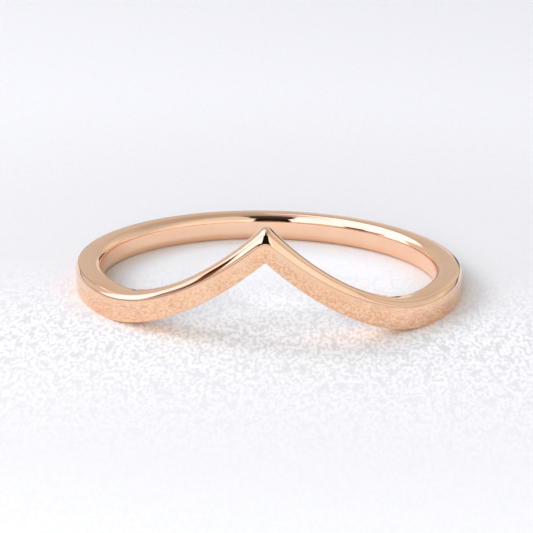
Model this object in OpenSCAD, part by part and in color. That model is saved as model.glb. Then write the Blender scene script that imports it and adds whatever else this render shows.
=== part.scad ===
// A plain finger ring that rises to a single V at its front.
// It lies on its side as it would on a table: the finger passes through along Z, and the V points up
// over -Y. Millimetres, +Z up, with the origin on the axis of the bore at the level that the ring rests on.
// All of it is one solid. The back half is a revolved band. The front half is a section carried around
// the same axis, whose lower edge, upper edge and crease each climb to the point of the V.

/* [Band] */
// Radius of the bore, half of the inside diameter that sets the finger size
bore_r = 8.46; // [7.5:0.01:11]
// Thickness of the band, from the bore to the outer face
wall_t = 1.34; // [1.1:0.01:2]
// Height of the band at its crest, on the level part
band_h = 1.485; // [1.4:0.005:2.4]

/* [Chevron] */
// Angle around the band from the point of the V to where each arm has run out level
v_half = 55; // [40:0.5:75]
// Climb of the lower edge at the point of the V
low_rise = 4.12; // [2:0.01:5]
// How much more the upper edge climbs at the point than the lower edge does
top_gain = 0.19; // [0:0.01:0.6]
// How much less the crease on the outer face climbs at the point than the lower edge does
crease_lag = 0.08; // [0:0.01:0.3]
// Half angle over which the notch under the point is rounded
notch_soft = 0.4; // [0.2:0.1:3]
// Half angle over which the upper edge is rounded at the point
tip_soft = 1.7; // [0.5:0.1:2.5]
// Half angle over which the crease is rounded at the point
crease_soft = 2.6; // [0.5:0.1:5]

/* [Section] */
// Radial width of the full inner roundings, from the bore to the crest
inner_w = 0.52; // [0.4:0.01:0.6]
// Height of the full inner roundings
inner_h = 0.47; // [0.3:0.01:0.5]
// Height of the crease on the outer face above the lower edge
crease_h = 1.135; // [0.9:0.005:1.2]
// Radial distance from the ridge, the outer edge of the top face, in to the outer face
ridge_in = 0.115; // [0.06:0.005:0.3]
// Share of the fall from crest to crease that the top face takes before the ridge
ridge_share = 0.34; // [0.2:0.01:0.45]
// How late the top face turns down towards the ridge: 1 is straight, more keeps it level for longer
crown_power = 3.4; // [1:0.1:5]
// Radial distance of the bevel's pull from the outer face
pull_in = 0.01; // [0:0.001:0.05]
// Share of the fall from crest to crease at the height of the bevel's pull
pull_share = 0.79; // [0.6:0.01:0.95]
// Radius of the small rounding of the lower outer edge
edge_r = 0.1; // [0.06:0.01:0.16]

/* [Fineness] */
// Steps from the point of the V to each side of the ring
arm_steps = 50; // [30:1:60]
// Steps in each of the curves of the section
round_steps = 5; // [3:1:7]

/* [Hidden] */
outer_r = bore_r + wall_t;
crest_r = bore_r + inner_w;
ridge_r = outer_r - ridge_in;
// The angle from the point of the V to each end of the swept front half
side_angle = 90;
// Crowds the sections towards the point, where the edges turn fastest
crowding = 1.6;
// The arc of an inner rounding, which stops short of the wall and runs on straight into it
inner_arc = 78;
// How far the swept section runs inside the bore before the bore is cut
bore_skin = 0.03;
// How far the bore is cut past the top and bottom
bore_over = 1;
bore_sides = 180;
gold = [0.86, 0.60, 0.47];

// Angle from the point, made round within w degrees of it
function soft(a, w) = a < w ? a * a / (2 * w) + w / 2 : a;
// Share of the climb that is left at an angle a from the point: a parabola that runs out level
function climb(a, w) = a >= v_half ? 0 : pow(1 - soft(a, w) / v_half, 2);
function low_z(a) = low_rise * climb(abs(a), notch_soft);
function top_z(a) = band_h + (low_rise + top_gain) * climb(abs(a), tip_soft);
function crease_z(a) = crease_h + (low_rise - crease_lag) * climb(abs(a), crease_soft);

// Points of an inner rounding as [radius, height], from the wall to the crest (way 1) or base (way -1) at z
function inner_round(z, way, skin) =
    let (run = inner_w * (1 - sin(inner_arc)) + skin, run_down = run * tan(inner_arc) * inner_h / inner_w)
    concat(
        [[bore_r - skin, z - way * (inner_h * (1 - cos(inner_arc)) + run_down)]],
        [for (i = [0:round_steps]) let (t = inner_arc * (1 - i / round_steps))
            [crest_r - inner_w * sin(t), z - way * inner_h * (1 - cos(t))]]);
// Points of the top face from the crest to the ridge, falling ever faster
function crown(z, fall) =
    [for (i = [1:round_steps]) let (t = i / round_steps)
        [crest_r + (ridge_r - crest_r) * t, z - fall * ridge_share * pow(t, crown_power)]];
// Points of the bevel from the ridge to the crease: a curve that its pull keeps steep
function bevel(z, fall) =
    let (p = [ridge_r, z - fall * ridge_share], pull = [outer_r - pull_in, z - fall * pull_share],
         q = [outer_r, z - fall])
    [for (i = [1:round_steps]) let (t = i / round_steps)
        (1 - t) * (1 - t) * p + 2 * t * (1 - t) * pull + t * t * q];
// Points of the rounding between the outer face and the base
function lower_edge(z) =
    [for (i = [0:round_steps]) let (t = 90 * i / round_steps)
        [outer_r - edge_r * (1 - cos(t)), z + edge_r * (1 - sin(t))]];
// The section at an angle from the point, as [radius, height] pairs. Its inner wall stands at bore_r - skin.
function section(a, skin) =
    let (low = low_z(a), top = top_z(a), fall = top - crease_z(a), base = inner_round(low, -1, skin))
    concat(
        inner_round(top, 1, skin),
        crown(top, fall),
        bevel(top, fall),
        lower_edge(low),
        [for (i = [len(base) - 1:-1:0]) base[i]]);
// The same section stood in space, with the point of the V towards -Y
function placed(a, skin) = [for (p = section(a, skin)) [p[0] * sin(a), -p[0] * cos(a), p[1]]];

// Closes a stack of sections with triangles, and caps both ends
module swept(rings) {
    n = len(rings[0]);
    last = len(rings) - 1;
    sides = [for (i = [0:last - 1], j = [0:n - 1]) let (k = (j + 1) % n, p = i * n, q = p + n)
        each [[p + j, q + k, p + k], [p + j, q + j, q + k]]];
    polyhedron(
        points = [for (ring = rings) each ring],
        faces = concat(sides, [[for (j = [0:n - 1]) j], [for (j = [n - 1:-1:0]) last * n + j]]),
        convexity = 6);
}

// Front half, with both arms of the V, not yet bored
module chevron() {
    angles = [for (i = [-arm_steps:arm_steps]) sign(i) * side_angle * pow(abs(i) / arm_steps, crowding)];
    swept([for (a = angles) placed(a, bore_skin)]);
}

// Back half, level all the way, not yet bored
module shank() {
    rotate_extrude(angle = 180, $fn = bore_sides) polygon(section(side_angle, bore_skin));
}

// The room that the finger takes, through the whole ring
module bore() {
    translate([0, 0, -bore_over])
        cylinder(r = bore_r, h = band_h + low_rise + top_gain + 2 * bore_over, $fn = bore_sides);
}

module band() {
    color(gold) difference() {
        union() {
            chevron();
            shank();
        }
        bore();
    }
}

band();
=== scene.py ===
"""A polished rose gold finger ring whose band climbs to a single V, on its side on a pale floor.

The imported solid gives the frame. The band that shows is worked out again as one fine surface: a
section of bends and runs, carried around the axis of the finger hole. Lengths are in metres unless
a name ends in _mm, and angles in degrees unless a comment says radians.
"""

import bpy
import numpy as np
from mathutils import Matrix, Vector


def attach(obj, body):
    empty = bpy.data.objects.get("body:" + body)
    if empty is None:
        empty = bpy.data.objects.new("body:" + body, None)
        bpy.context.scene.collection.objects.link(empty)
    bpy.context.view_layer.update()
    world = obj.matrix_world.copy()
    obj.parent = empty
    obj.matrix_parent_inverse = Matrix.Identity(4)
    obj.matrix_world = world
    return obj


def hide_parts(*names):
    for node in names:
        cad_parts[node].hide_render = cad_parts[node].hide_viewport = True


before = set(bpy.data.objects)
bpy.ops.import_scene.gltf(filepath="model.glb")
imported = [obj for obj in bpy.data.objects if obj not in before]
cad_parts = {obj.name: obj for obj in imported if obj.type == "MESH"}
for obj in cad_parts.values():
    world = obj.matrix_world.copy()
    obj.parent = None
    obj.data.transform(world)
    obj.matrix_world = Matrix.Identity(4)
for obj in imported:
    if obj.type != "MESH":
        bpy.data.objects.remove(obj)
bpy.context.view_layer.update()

MM = 0.001

# The band, in millimetres and degrees, as in the part's source
BORE_R_MM = 8.46
WALL_MM = 1.34
BAND_H_MM = 1.485
OUTER_R_MM = BORE_R_MM + WALL_MM
V_HALF_DEG = 55.0
LOW_RISE_MM = 4.12
TOP_GAIN_MM = 0.19
CREASE_LAG_MM = 0.08
NOTCH_SOFT_DEG = 0.4
TIP_SOFT_DEG = 1.7
CREASE_SOFT_DEG = 2.6
INNER_W_MM = 0.52
INNER_H_MM = 0.47
CREST_R_MM = BORE_R_MM + INNER_W_MM
CREASE_H_MM = 1.135
RIDGE_IN_MM = 0.115
RIDGE_R_MM = OUTER_R_MM - RIDGE_IN_MM
RIDGE_SHARE = 0.34
CROWN_POWER = 3.4
PULL_IN_MM = 0.01
PULL_SHARE = 0.79
LOWER_EDGE_MM = 0.1

# How far the shown surface stays inside the solid's box
SKIN_MM = 0.002
# How far the small bends at the ridge and the crease reach from the corner
RIDGE_EDGE_MM = 0.012
CREASE_EDGE_MM = 0.02

# Steps in the parts of a section
ROUND_STEPS = 24
LOWER_EDGE_STEPS = 7
CORNER_STEPS = 4
BEVEL_STEPS = 16
CROWN_STEPS = 28
BASE_STEPS = 5
WALL_STEPS = 8
# Steps around the ring, and the power that crowds them towards the point of the V
AROUND = 760
CROWDING = 1.6

# Width of the softened polish along the outer edges
EDGE_WEAR_MM = 0.12
# Width of the fine dark line of painted shade at the crease and the ridge, and its strength at the
# ridge
LINE_WIDTH_MM = 0.03
RIDGE_LINE = 0.6
# How far in from the outer face, and how far below the crease, the painted mottle has faded in
PAINTED_MOTTLE_IN_MM = 0.1
PAINTED_MOTTLE_FADE_MM = 0.55

# Rose gold: the two ends of its faint clouds, the fine dark line of painted shade, and the flecks
# of a painted reflection
GOLD_DEEP = (0.99, 0.63, 0.42, 1)
GOLD_PALE = (0.99, 0.665, 0.455, 1)
GOLD_PAINTED_SHADE = (0.3, 0.17, 0.11, 1)
GOLD_PAINTED_MOTTLE = (0.82, 0.455, 0.25, 1)
PAINTED_MOTTLE_DEPTH = 0.95
# Cells of noise to the metre in the metal
CLOUDS = 700.0
PAINTED_MOTTLE_CELLS = 8500.0
PAINTED_MOTTLE_PATCHES = 260.0
GRAIN = 6500.0
MARK_PATCHES = 330.0
# Hairlines: cells to the metre along and across the band, and their slant in radians
MARKS_ALONG, MARKS_ACROSS = 350, 26000
MARKS_SLANT = 0.06
# Height of the grain and the hairlines
RELIEF = 0.000001

# The floor: around the ring, far from it, in front of it and within it, and the specks of its
# grain. It is paler far from the ring, in front of it and within it: painted light
FLOOR_PALE = (0.56, 0.564, 0.544, 1)
FLOOR_FAR = (0.636, 0.642, 0.624, 1)
FLOOR_PAINTED_LIGHT = (0.71, 0.715, 0.695, 1)
FLOOR_SPECK = (0.435, 0.44, 0.432, 1)
FLOOR_SPECKS = 5600.0
FLOOR_PITS = 2300.0
FLOOR_DRAWN = (1, 0.36, 1)
# A place within the ring around which the floor is painted paler, as painted light, and where that
# starts and ends to fade
HOLE_PLACE = (0.002, 0.001, 0)
HOLE_FADE = (0.0035, 0.0075)
# The metal's bounce on the floor: its colour, and how far up from the floor it is looked for
BOUNCE = (1.13, 1.01, 0.925, 1)
BOUNCE_REACH = 0.0035

# Lamps: place, size and energy
LEFT_KEY = (Vector((-0.24, 0.03, 0.2)), 0.14, 0.30)
FRONT_FILL = (Vector((-0.284, -0.238, 0.197)), 0.2, 0.6)
LOW_FILL = (Vector((-0.03, -0.4, 0.13)), 0.16, 1.75)

# The camera, solved from the ring's own edges. Lengths are in outer radii of the band, angles in
# radians.
CAM_DISTANCE = 11.5
CAM_DOWN = 0.2899
CAM_YAW = 0.0198
CAM_ROLL = 0.0202
CAM_SIDE = -0.0134
CAM_LIFT = 0.1077
CAM_CLIP = 0.001
FOCAL_PX = 2212.33
FRAME_PX = 533
SENSOR_MM = 36


def soft(angle, half_width):
    """|angle|, with its corner at zero replaced by a parabola within half_width."""
    a = np.abs(angle)
    return np.where(a < half_width, a * a / (2 * half_width) + half_width / 2, a)


def climb(angle, half_width):
    """Share of the climb left at an angle: the square of what is left of the V's half angle."""
    left = 1 - soft(angle, half_width) / V_HALF_DEG
    return np.where(left > 0, left, 0) ** 2


def bend(p, corner, q, steps):
    """Quadratic curve from p to q, (1-t)^2 p + 2t(1-t) corner + t^2 q. The points are (n, 2).

    It leaves p towards the corner and arrives at q from it."""
    t = np.linspace(0, 1, steps + 1)[None, :, None]
    p, corner, q = p[:, None], corner[:, None], q[:, None]
    return (1 - t) ** 2 * p + 2 * t * (1 - t) * corner + t**2 * q


def run(p, q, steps):
    """Straight run from p to q, without its two ends."""
    t = np.linspace(0, 1, steps + 1)[None, 1:-1, None]
    return p[:, None] * (1 - t) + q[:, None] * t


def towards(p, q, distance):
    """The point at a distance from p on the line to q."""
    d = q - p
    return p + d * (distance / np.linalg.norm(d, axis=1, keepdims=True))


def section(angle):
    """Closed section at each angle as (radius, height) in mm, starting at the foot of the bore.

    Quarter ellipse down to the base, flat base, small bend, upright outer face to the crease,
    steep curved bevel to the ridge, top face, quarter ellipse to the bore, upright bore. The top
    face falls from its crest by a power of the way to the ridge. The fall from crest to crease is
    shared out in the same way at every angle."""
    low = LOW_RISE_MM * climb(angle, NOTCH_SOFT_DEG) + SKIN_MM
    top = BAND_H_MM + (LOW_RISE_MM + TOP_GAIN_MM) * climb(angle, TIP_SOFT_DEG) - SKIN_MM
    crease = CREASE_H_MM + (LOW_RISE_MM - CREASE_LAG_MM) * climb(angle, CREASE_SOFT_DEG)
    fall = top - crease
    outer = OUTER_R_MM - SKIN_MM

    def at(radius, height):
        return np.stack(np.broadcast_arrays(radius, height), axis=-1)

    turn = np.linspace(0, np.pi / 2, ROUND_STEPS + 1)
    round_r = CREST_R_MM - INNER_W_MM * np.cos(turn)[None]
    round_rise = INNER_H_MM * (1 - np.sin(turn))[None]
    lower_inner = at(round_r, low[:, None] + round_rise)
    upper_inner = at(round_r[:, ::-1], top[:, None] - round_rise[:, ::-1])

    corner = at(outer, low)
    on_base, on_face = corner - [LOWER_EDGE_MM, 0], corner + [0, LOWER_EDGE_MM]
    lower_outer = bend(on_base, corner, on_face, LOWER_EDGE_STEPS)

    crease_p, ridge_p = at(outer, crease), at(RIDGE_R_MM, top - fall * RIDGE_SHARE)
    pull = at(OUTER_R_MM - PULL_IN_MM, top - fall * PULL_SHARE)
    from_crease = towards(crease_p, pull, CREASE_EDGE_MM)
    to_ridge = towards(ridge_p, pull, RIDGE_EDGE_MM)
    crease_turn = bend(crease_p - [0, CREASE_EDGE_MM], crease_p, from_crease, CORNER_STEPS)
    under_crease = crease_turn[:, :1] - [0, LINE_WIDTH_MM]
    bevel = bend(from_crease, pull, to_ridge, BEVEL_STEPS)[:, 1:-1]

    way = np.linspace(0, 1, CROWN_STEPS + 1)[None]
    crown_r = CREST_R_MM + (RIDGE_R_MM - CREST_R_MM) * way
    crown = at(crown_r, top[:, None] - (fall * RIDGE_SHARE)[:, None] * way**CROWN_POWER)
    off_ridge = towards(ridge_p, crown[:, -2], RIDGE_EDGE_MM)
    parts = [
        lower_inner,
        run(lower_inner[:, -1], lower_outer[:, 0], BASE_STEPS),
        lower_outer,
        run(lower_outer[:, -1], under_crease[:, 0], WALL_STEPS),
        under_crease,
        crease_turn,
        bevel,
        bend(to_ridge, ridge_p, off_ridge, CORNER_STEPS),
        crown[:, -2:0:-1],
        upper_inner,
        run(upper_inner[:, -1], lower_inner[:, 0], WALL_STEPS),
    ]
    return np.concatenate(parts, axis=1)


def lengths(points, axis):
    """Mean distance along an axis of a closed grid of points: 0, then the sum of the steps so far.

    There is one more entry than points, for the way back to the start."""
    step = np.linalg.norm(np.roll(points, -1, axis) - points, axis=-1).mean(axis=1 - axis)
    return np.concatenate([[0], np.cumsum(step)])


def closed_grid(name, points):
    """A closed tube of quads over points (around, along, 3), whose faces wrap in both directions.

    Its UV map is the mean distance in metres, U around the tube and V along each section."""
    rows, cols = points.shape[:2]
    i, j = np.meshgrid(np.arange(rows), np.arange(cols), indexing="ij")
    corner_i = np.stack([i, i + 1, i + 1, i], axis=-1)
    corner_j = np.stack([j, j, j + 1, j + 1], axis=-1)
    quads = ((corner_i % rows) * cols + corner_j % cols).reshape(-1, 4)
    mesh = bpy.data.meshes.new(name)
    mesh.from_pydata(points.reshape(-1, 3), [], quads)
    mesh.polygons.foreach_set("use_smooth", np.ones(len(quads), bool))
    around, along = lengths(points, 0), lengths(points, 1)
    uv = np.stack([around[corner_i], along[corner_j]], axis=-1)
    mesh.uv_layers.new(name="distance").data.foreach_set("uv", uv.astype(np.float32).ravel())
    mesh.update()
    piece = bpy.data.objects.new(name, mesh)
    bpy.context.scene.collection.objects.link(piece)
    return piece


def edge_wear():
    """Three shares for each point of a section: soft polish, the fine dark line of painted shade,
    and the painted mottle.

    Soft polish is 1 at the crease, the ridge and the lower outer edge. The line is 1 at the crease
    and RIDGE_LINE at the ridge, and is shade painted along them. Both fall away as a bell,
    exp(-(distance / width)^2). The mottle, a painted reflection of the floor's grain, is 1 low on
    the outer face and fades in straight runs upwards and inwards."""
    level = section(np.array([180.0]))[0]
    ridge_h = BAND_H_MM - (BAND_H_MM - CREASE_H_MM) * RIDGE_SHARE
    edges = np.array([[OUTER_R_MM, CREASE_H_MM], [RIDGE_R_MM, ridge_h], [OUTER_R_MM, 0]])
    apart = np.linalg.norm(level[:, None] - edges[None], axis=-1)
    worn = np.exp(-((apart.min(axis=1) / EDGE_WEAR_MM) ** 2))
    line = np.exp(-((apart[:, :2] / LINE_WIDTH_MM) ** 2)) @ [1.0, RIDGE_LINE]
    outer = np.clip((level[:, 0] - OUTER_R_MM) / PAINTED_MOTTLE_IN_MM + 1, 0, 1)
    painted_mottle = outer * np.clip((CREASE_H_MM - level[:, 1]) / PAINTED_MOTTLE_FADE_MM, 0, 1)
    return worn, line, painted_mottle


def make_band():
    """The section carried once around the bore axis, its steps crowded towards the point of the V.

    Step u from -1 to 1 stands at 180 degrees times |u| to the crowding power, and the V points to
    -Y."""
    u = np.arange(AROUND) / (AROUND / 2) - 1
    angle = np.sign(u) * 180 * np.abs(u) ** CROWDING
    ring = section(angle) * MM
    radius, height = ring[..., 0], ring[..., 1]
    turn = np.radians(angle)[:, None]
    points = np.stack([radius * np.sin(turn), -radius * np.cos(turn), height], axis=-1)
    piece = closed_grid("chevron_band", points)
    for name, share in zip(("edge_wear", "painted_shade_line", "painted_mottle"), edge_wear()):
        values = np.broadcast_to(share, points.shape[:2]).astype(np.float32)
        piece.data.attributes.new(name, "FLOAT", "POINT").data.foreach_set("value", values.ravel())
    return piece


class Wiring:
    """Makes nodes in a tree and joins them; a value is a socket, a plain number or a tuple."""

    def __init__(self, tree):
        self.tree = tree

    def node(self, kind, **settings):
        made = self.tree.nodes.new(kind)
        for name, value in settings.items():
            setattr(made, name, value)
        return made

    def feed(self, socket, value):
        if isinstance(value, bpy.types.NodeSocket):
            self.tree.links.new(value, socket)
        else:
            socket.default_value = value

    def math(self, operation, *values):
        made = self.node("ShaderNodeMath", operation=operation)
        for socket, value in zip(made.inputs, values):
            self.feed(socket, value)
        return made.outputs[0]

    def times(self, first, second):
        return self.math("MULTIPLY", first, second)

    def plus(self, first, second):
        return self.math("ADD", first, second)

    def minus(self, first, second):
        return self.math("SUBTRACT", first, second)

    def larger(self, first, second):
        return self.math("MAXIMUM", first, second)

    def size(self, value):
        """The value without its sign."""
        return self.math("ABSOLUTE", value)

    def vector(self, operation, output, *values):
        """A sum over one or two vectors, such as their product or the distance between them."""
        made = self.node("ShaderNodeVectorMath", operation=operation)
        for socket, value in zip(made.inputs, values):
            self.feed(socket, value)
        return made.outputs[output]

    def range(self, value, start, end, low, high, shape):
        made = self.node("ShaderNodeMapRange", interpolation_type=shape)
        for socket, number in zip(made.inputs, (value, start, end, low, high)):
            self.feed(socket, number)
        return made.outputs[0]

    def step(self, value, start, end, low=0.0, high=1.0):
        """Smooth step from low at start to high at end."""
        return self.range(value, start, end, low, high, "SMOOTHSTEP")

    def drop(self, value, start, end):
        """Smooth step from 1 at start to 0 at end."""
        return self.step(value, start, end, 1.0, 0.0)

    def path(self, value, first, *legs):
        """A broken line: first, then a change over each leg (start, end, change)."""
        total = first
        for start, end, change in legs:
            total = self.plus(total, self.range(value, start, end, 0.0, change, "LINEAR"))
        return total

    def between(self, value, start, end, soft):
        """1 from start to end, with edges of width soft outside."""
        return self.times(self.step(value, start - soft, start), self.drop(value, end, end + soft))

    def noise(self, place, scale, detail):
        made = self.node("ShaderNodeTexNoise")
        self.feed(made.inputs["Vector"], place)
        self.feed(made.inputs["Scale"], scale)
        self.feed(made.inputs["Detail"], detail)
        return made.outputs[0]

    def drawn(self, place, scale, slant=0.0):
        """A place scaled along each axis, then turned about Z by a slant in radians."""
        made = self.node("ShaderNodeMapping")
        self.feed(made.inputs["Vector"], place)
        self.feed(made.inputs["Rotation"], (0, 0, slant))
        self.feed(made.inputs["Scale"], scale)
        return made.outputs[0]

    def split(self, place):
        """The three parts of a place or a direction."""
        made = self.node("ShaderNodeSeparateXYZ")
        self.feed(made.inputs[0], place)
        return made.outputs

    def attribute(self, name):
        return self.node("ShaderNodeAttribute", attribute_name=name).outputs["Fac"]

    def mix(self, kind, sockets, values, **settings):
        made = self.node("ShaderNodeMix", data_type=kind, **settings)
        for socket, value in zip(sockets, values):
            self.feed(made.inputs[socket], value)
        return made.outputs

    def tint(self, share, first, second, way="MIX"):
        """Colour blend. The Mix node keeps its colours on sockets 6 and 7 and output 2."""
        return self.mix("RGBA", (0, 6, 7), (share, first, second), blend_type=way)[2]

    def blend(self, share, first, second):
        """Number blend. The Mix node keeps its numbers on sockets 2 and 3 and output 0."""
        return self.mix("FLOAT", (0, 2, 3), (share, first, second))[0]


def rose_gold():
    """Polished rose gold: an even warm metal with clouds, a fine grain and hairline marks, with
    painted shade and a painted reflection.

    Colour is a blend of the two golds by smooth noise, then of the painted dark line and the
    painted mottle by their shares. Roughness is the sum of the grain's, the hairlines' and the worn
    edges'."""
    mat = bpy.data.materials.new("rose_gold_polish")
    mat.use_nodes = True
    w = Wiring(mat.node_tree)
    shader = mat.node_tree.nodes["Principled BSDF"]
    shader.inputs["Metallic"].default_value = 1
    place = w.node("ShaderNodeTexCoord").outputs["Object"]
    along = w.node("ShaderNodeUVMap", uv_map="distance").outputs["UV"]
    x, y, _ = w.split(place)

    clouds = w.noise(place, CLOUDS, 3.0)
    metal = w.tint(w.step(clouds, 0.35, 0.65), GOLD_DEEP, GOLD_PALE)
    # the fine dark line, painted shade along the crease and the ridge, deeper on the left arm as a
    # painted dark reflection
    line = w.times(w.attribute("painted_shade_line"), w.step(x, -0.0012, 0.0004, 0.85, 0.35))
    metal = w.tint(line, metal, GOLD_PAINTED_SHADE)
    # a painted reflection of the floor's grain: fine flecks, darker and redder than the polish,
    # over the outer face
    dark_flecks = w.step(w.noise(place, PAINTED_MOTTLE_CELLS, 2.0), 0.42, 0.62)
    dark_flecks = w.times(dark_flecks, w.step(w.noise(place, PAINTED_MOTTLE_PATCHES, 1.0), 0.30, 0.58, 0.35, 1.0))
    dark_flecks = w.times(dark_flecks, w.attribute("painted_mottle"))
    w.feed(shader.inputs["Base Color"], w.tint(w.times(dark_flecks, PAINTED_MOTTLE_DEPTH), metal, GOLD_PAINTED_MOTTLE))

    # hairlines: noise drawn out along the band, kept where it peaks and only in patches
    lines = w.noise(w.drawn(along, (MARKS_ALONG, MARKS_ACROSS, 1), MARKS_SLANT), 1.0, 1.0)
    patches = w.step(w.noise(place, MARK_PATCHES, 1.0), 0.48, 0.62)
    marks = w.times(w.step(lines, 0.70, 0.78), patches)

    grain = w.noise(place, GRAIN, 2.0)
    rough = w.plus(w.step(grain, 0.3, 0.7, 0.03, 0.055), w.times(marks, 0.12))
    # the edges are crisper towards the point of the V
    worn = w.times(w.attribute("edge_wear"), w.step(y, -0.0096, -0.006, 0.25, 1.0))
    rough = w.plus(rough, w.times(worn, w.step(clouds, 0.3, 0.7, 0.02, 0.09)))
    w.feed(shader.inputs["Roughness"], rough)

    bump = w.node("ShaderNodeBump")
    bump.inputs["Distance"].default_value = RELIEF
    w.feed(bump.inputs["Height"], w.minus(w.times(grain, 0.35), w.times(marks, 0.5)))
    w.feed(shader.inputs["Normal"], bump.outputs[0])
    return mat


band = make_band()
band.data.materials.append(rose_gold())
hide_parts("band")
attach(band, "root")


def pale_floor():
    """A white floor of fine grain, which shows most in front of the ring and fades away from it.

    The grain is the larger of two smooth steps on noise, times a broken line over Y that peaks in
    front of the ring. Its colour holds painted light: paler far from the ring, and paler still in
    front of it and within it, where the ring's shade falls."""
    bpy.ops.mesh.primitive_plane_add(size=2)
    floor = bpy.context.object
    floor.name = "pale_floor"
    mat = bpy.data.materials.new("white_floor")
    mat.use_nodes = True
    w = Wiring(mat.node_tree)
    shader = mat.node_tree.nodes["Principled BSDF"]
    shader.inputs["Roughness"].default_value = 0.9
    place = w.node("ShaderNodeTexCoord").outputs["Object"]
    near = w.path(w.split(place)[1], 0.09, (-0.024, -0.0085, 0.62), (-0.0085, 0.004, -0.62))
    # the grain is drawn out along Y
    drawn = w.drawn(place, FLOOR_DRAWN)
    specks = w.step(w.noise(drawn, FLOOR_SPECKS, 2.0), 0.42, 0.64)
    dark_flecks = w.step(w.noise(drawn, FLOOR_PITS, 1.0), 0.53, 0.68)
    grain = w.times(near, w.larger(specks, dark_flecks))
    from_ring = w.vector("LENGTH", "Value", place)
    # painted light: the floor is paler far from the ring
    pale = w.tint(w.step(from_ring, 0.012, 0.05), FLOOR_PALE, FLOOR_FAR)
    from_hole = w.vector("DISTANCE", "Value", place, HOLE_PLACE)
    # painted light: paler in front of the ring and within it, lifting the ring's shade there
    painted_light_share = w.larger(near, w.step(from_hole, *HOLE_FADE, 0.85, 0.0))
    grained = w.tint(grain, w.tint(painted_light_share, pale, FLOOR_PAINTED_LIGHT), FLOOR_SPECK)
    # the metal's warm bounce where the floor is close under it
    shut = w.node("ShaderNodeAmbientOcclusion", samples=6)
    shut.inputs["Distance"].default_value = BOUNCE_REACH
    close = w.drop(shut.outputs["AO"], 0.35, 0.9)
    w.feed(shader.inputs["Base Color"], w.tint(close, grained, BOUNCE, "MULTIPLY"))
    floor.data.materials.append(mat)


pale_floor()


def soft_lamp(name, spot, size, energy):
    """A round lamp that looks at the ring. The metal mirrors studio_light and not the lamps."""
    data = bpy.data.lights.new(name, "AREA")
    data.shape = "DISK"
    data.size = size
    data.energy = energy
    lamp = bpy.data.objects.new(name, data)
    bpy.context.scene.collection.objects.link(lamp)
    lamp.location = spot
    lamp.rotation_euler = (-spot).to_track_quat("-Z", "Y").to_euler()
    lamp.visible_glossy = False


soft_lamp("left_key", *LEFT_KEY)
soft_lamp("front_fill", *FRONT_FILL)
soft_lamp("low_fill", *LOW_FILL)


def room(w, bearing, rise):
    """The room's own light: a broken line over the bearing, with paler patches, dimmer high up."""
    level = w.path(
        bearing,
        0.62,
        (-180, -125, 0.11),
        (-125, 0, 0.29),
        (20, 60, 0.086),
        (60, 100, -0.345),
        (100, 140, -0.127),
        (140, 180, -0.014),
    )
    low_right = w.times(w.between(bearing, 84, 122, 8), w.step(rise, 9, 17, 0.17, 0))
    beside_slot = w.times(w.between(bearing, 10, 18, 9), w.step(rise, 20, 38, 0.38, 0))
    back_right = w.times(w.between(bearing, 124, 158, 8), w.between(rise, 13, 38, 5))
    bright = w.times(w.between(bearing, 137, 149, 5), w.between(rise, 14, 23, 4))
    low_back = w.times(w.step(bearing, 165, 171), w.step(rise, 8, 13, 0.25, 0))
    patches = (low_right, beside_slot, w.times(back_right, 0.11), w.times(bright, 0.12), low_back)
    for patch in patches:
        level = w.plus(level, patch)
    return w.times(level, w.path(rise, 1, (24, 38, -0.14), (38, 70, -0.1)))


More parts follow.
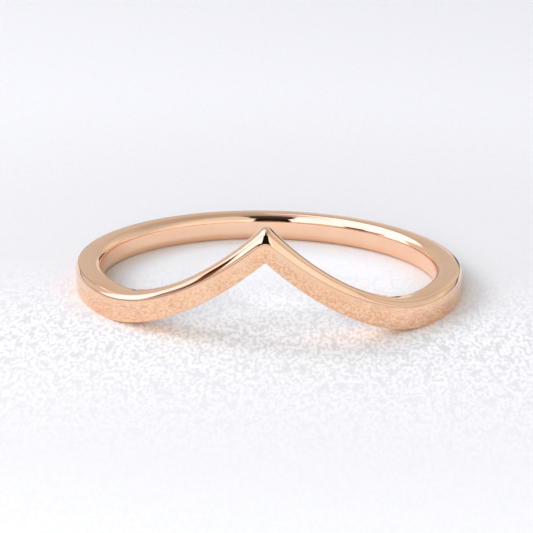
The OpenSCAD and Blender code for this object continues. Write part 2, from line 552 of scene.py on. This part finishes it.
def studio_light():
    """Light by direction: the room, a large white panel on the left, an unlit slot, dark patches.

    Bearing is 0 towards the camera and grows to the right; rise is the elevation. Each patch is a
    product of smooth steps in bearing and rise, and blends the light so far into its own level."""
    world = bpy.data.worlds.new("studio")
    world.use_nodes = True
    w = Wiring(world.node_tree)
    where = w.node("ShaderNodeTexCoord").outputs["Generated"]
    x, y, z = w.split(where)
    bearing = w.math("DEGREES", w.math("ARCTAN2", x, w.times(y, -1.0)))
    rise = w.math("DEGREES", w.math("ARCSINE", z))

    # the unlit slot around the camera, wider towards the top
    widen = w.path(rise, 0, (45, 62, 12), (62, 72, 4), (72, 83, 44))
    slot_left = w.step(w.plus(bearing, widen), -15.4, -12.8)
    slot = w.times(slot_left, w.drop(w.minus(bearing, widen), 11.3, 14))
    slot_level = w.path(rise, 0.01, (30, 60, 0.035), (66, 80, 0.055))

    # the panel ends at a straight far edge, which is a plane through the ring, and at the slot
    past = w.vector("DOT_PRODUCT", "Value", where, (0.477, 0.719, -0.544))
    panel = w.times(w.drop(past, -0.020, 0.036), w.minus(1, slot_left))
    # its lower edge: down to the floor on the left, but raised over a dark line near the camera
    lower = w.path(bearing, 14.5, (-38, -30, -1), (-30, -20, -2), (-20, -12, -3.5))
    edge = w.minus(rise, lower)
    raised = w.times(w.step(bearing, -60, -54), w.drop(edge, -0.6, 1.6))
    far_end = w.times(w.drop(bearing, -114.5, -109.5), w.drop(rise, 22, 31))
    panel = w.times(panel, w.minus(1, w.larger(raised, far_end)))
    panel_level = w.times(w.step(bearing, -100, -75, 1.70, 1.53), w.path(rise, 1, (60, 80, -0.17)))

    # the dark line under the panel, which fills down to the floor beside the slot
    line = w.times(w.between(bearing, -57, -13, 3), w.between(edge, -3.6, -0.8, 1.1))
    line_level = w.step(bearing, -48, -36, 0.45, 0.05)
    foot = w.times(w.between(bearing, -19, -11, 3.5), w.drop(edge, -0.8, 0.3))
    # the dark patch at the front left with a paler gap across it, and the dim room beyond and below
    below = w.times(w.between(bearing, -80, -48, 4), w.drop(rise, 7, 10))
    beyond = w.times(w.between(bearing, -86, -66, 4), w.between(rise, 10.5, 18.5, 3.5))
    dark = w.times(w.between(bearing, -70, -56.5, 4), w.between(rise, 10, 24.5, 3))
    dark_level = w.step(w.size(w.minus(rise, 17.5)), 1.2, 4, 0.27, 0.05)
    # a slanting line on the right
    slant = w.between(w.plus(rise, w.times(w.minus(bearing, 86), 0.9)), 23, 25, 1.4)
    slant = w.times(slant, w.between(bearing, 86, 104, 3))
    # the thin dark skirting along the horizon, deeper on the right
    skirting = w.times(w.step(w.size(bearing), 30, 60), w.between(rise, -0.5, 2.15, 1.5))
    skirting_level = w.step(bearing, -1, 1, 0.34, 0.08)
    # a dark patch at the back right
    behind = w.times(w.between(bearing, 156, 166.5, 4.5), w.between(rise, -5, 5.5, 4.5))
    # a gap in the light above, a little to the back
    gap = w.step(w.vector("DOT_PRODUCT", "Value", where, (0.155, 0.268, 0.951)), 0.90, 0.98)
    # and the slot's end, straight overhead
    end = w.times(w.step(z, 0.946, 0.958), w.drop(y, 0, 0.05))
    end = w.times(end, w.between(x, -0.15, 0.17, 0.03))

    light = room(w, bearing, rise)
    for share, level in (
        (panel, panel_level),
        (slot, slot_level),
        (line, line_level),
        (foot, 0.02),
        (below, 0.62),
        (beyond, 0.4),
        (dark, dark_level),
        (slant, 0.42),
        (skirting, skirting_level),
        (behind, 0.07),
        (gap, 0.5),
        (end, 0.1),
    ):
        light = w.blend(share, light, level)

    # warm at the back, a little blue in the panel, brown in the dark patch
    warm = w.step(w.size(bearing), 110, 150)
    brown = w.larger(dark, w.times(beyond, 0.5))
    colour = w.tint(warm, (1, 1, 1, 1), (1.03, 0.98, 0.91, 1))
    colour = w.tint(panel, colour, (1, 1, 1.24, 1))
    background = world.node_tree.nodes["Background"]
    w.feed(background.inputs["Color"], w.tint(brown, colour, (1, 0.45, 0.25, 1)))
    w.feed(background.inputs["Strength"], light)
    bpy.context.scene.world = world


studio_light()


def turned(first, second, angle):
    """Two axes at right angles, turned in their own plane: c a + s b and c b - s a."""
    c, s = np.cos(angle), np.sin(angle)
    return c * first + s * second, c * second - s * first


def place_camera():
    """Looks along the photograph's line: down by CAM_DOWN, rolled by CAM_ROLL, swung by CAM_YAW.

    The swing is about the ring's axis, and carries the camera's place as well as its axes."""
    across, down = np.cos(CAM_DOWN), np.sin(CAM_DOWN)
    spot = np.array([CAM_SIDE, -CAM_DISTANCE * across, CAM_DISTANCE * down + CAM_LIFT])
    ahead = np.array([0, across, -down])
    right = np.array([1.0, 0, 0])
    right, up = turned(right, np.cross(right, ahead), CAM_ROLL)
    c, s = np.cos(CAM_YAW), np.sin(CAM_YAW)
    swing = np.array([[c, -s, 0], [s, c, 0], [0, 0, 1]])
    data = bpy.data.cameras.new("photo_camera")
    data.sensor_width = SENSOR_MM
    data.lens = FOCAL_PX / FRAME_PX * SENSOR_MM
    data.clip_start = CAM_CLIP
    camera = bpy.data.objects.new("photo_camera", data)
    bpy.context.scene.collection.objects.link(camera)
    axes = np.stack([swing @ right, swing @ up, -(swing @ ahead)], axis=1)
    camera.matrix_world = Matrix(axes.tolist()).to_4x4()
    camera.location = Vector((swing @ spot * OUTER_R_MM * MM).tolist())
    bpy.context.scene.camera = camera


place_camera()
bpy.context.scene.view_settings.view_transform = "Standard"
